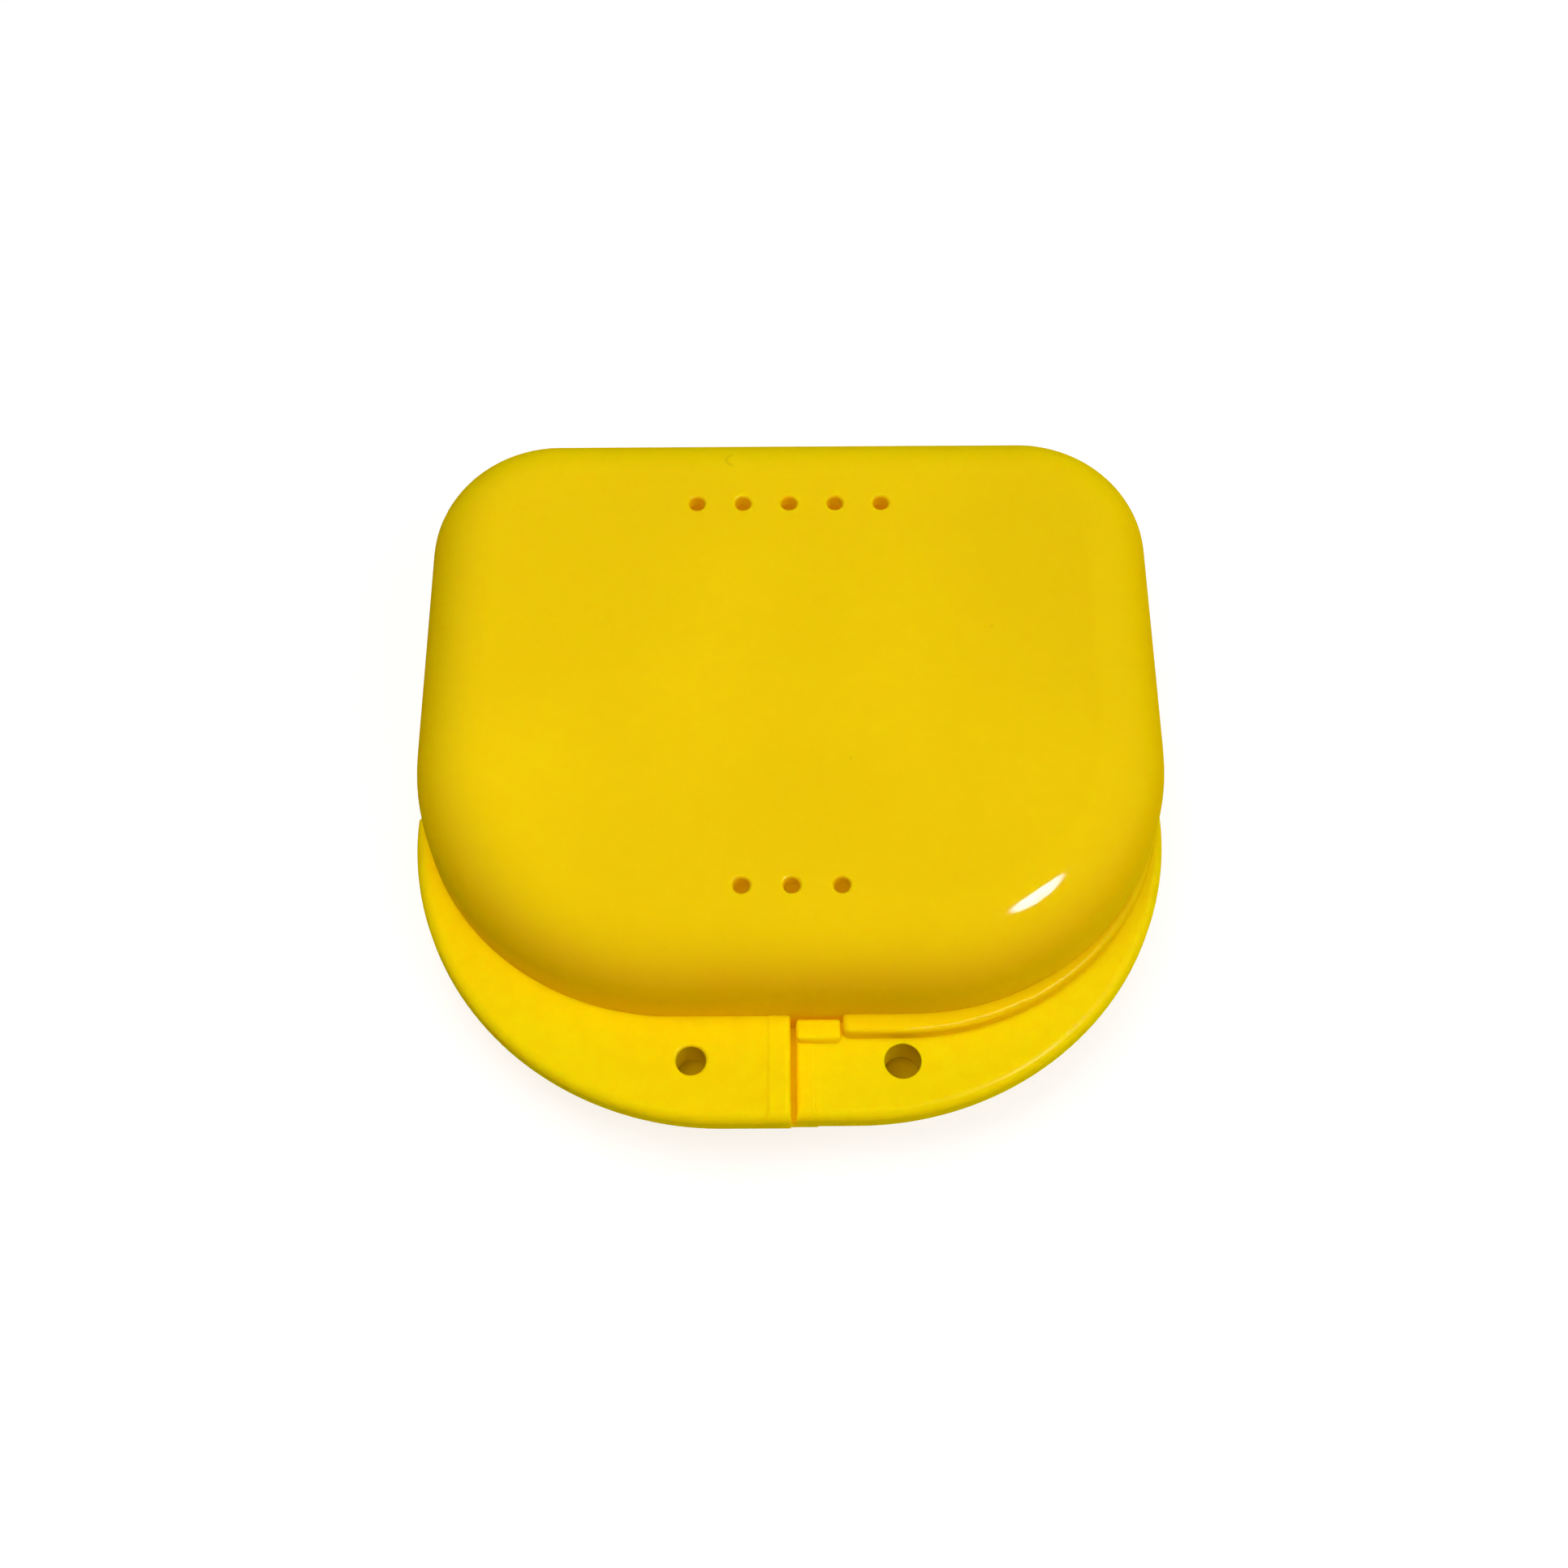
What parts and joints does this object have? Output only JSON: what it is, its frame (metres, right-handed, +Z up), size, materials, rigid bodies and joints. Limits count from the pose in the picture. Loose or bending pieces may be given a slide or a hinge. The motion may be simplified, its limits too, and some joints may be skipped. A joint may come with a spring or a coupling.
{
  "type": "orthodontic retainer case",
  "caption": "Small hinged plastic case with a domed lid and base, a straight pinned hinge at the back, side by side thumb flanges at the front and rows of vent holes.",
  "frame": {"origin": "on the table, under the middle of the closed case's box", "axes": "+Z up, +Y from the thumb flanges towards the hinge, +X to the right as seen from the front"},
  "size_m": [0.0806, 0.0834, 0.028],
  "materials": {
    "case_plastic": "glossy moulded polypropylene, saturated yellow",
    "pin_steel": "drawn steel wire"
  },
  "bodies": {
    "base": {"base_shell": "case_plastic", "base_flange": "case_plastic", "hinge_pin": "pin_steel"},
    "lid": {"lid_shell": "case_plastic", "lid_flange": "case_plastic"}
  },
  "joints": [
    {"name": "lid_hinge", "type": "hinge", "parent": "base", "child": "lid", "pos_m": [0, 0.03957, 0.014], "axis": [-1, 0, 0], "range_deg": [0, 180]}
  ]
}
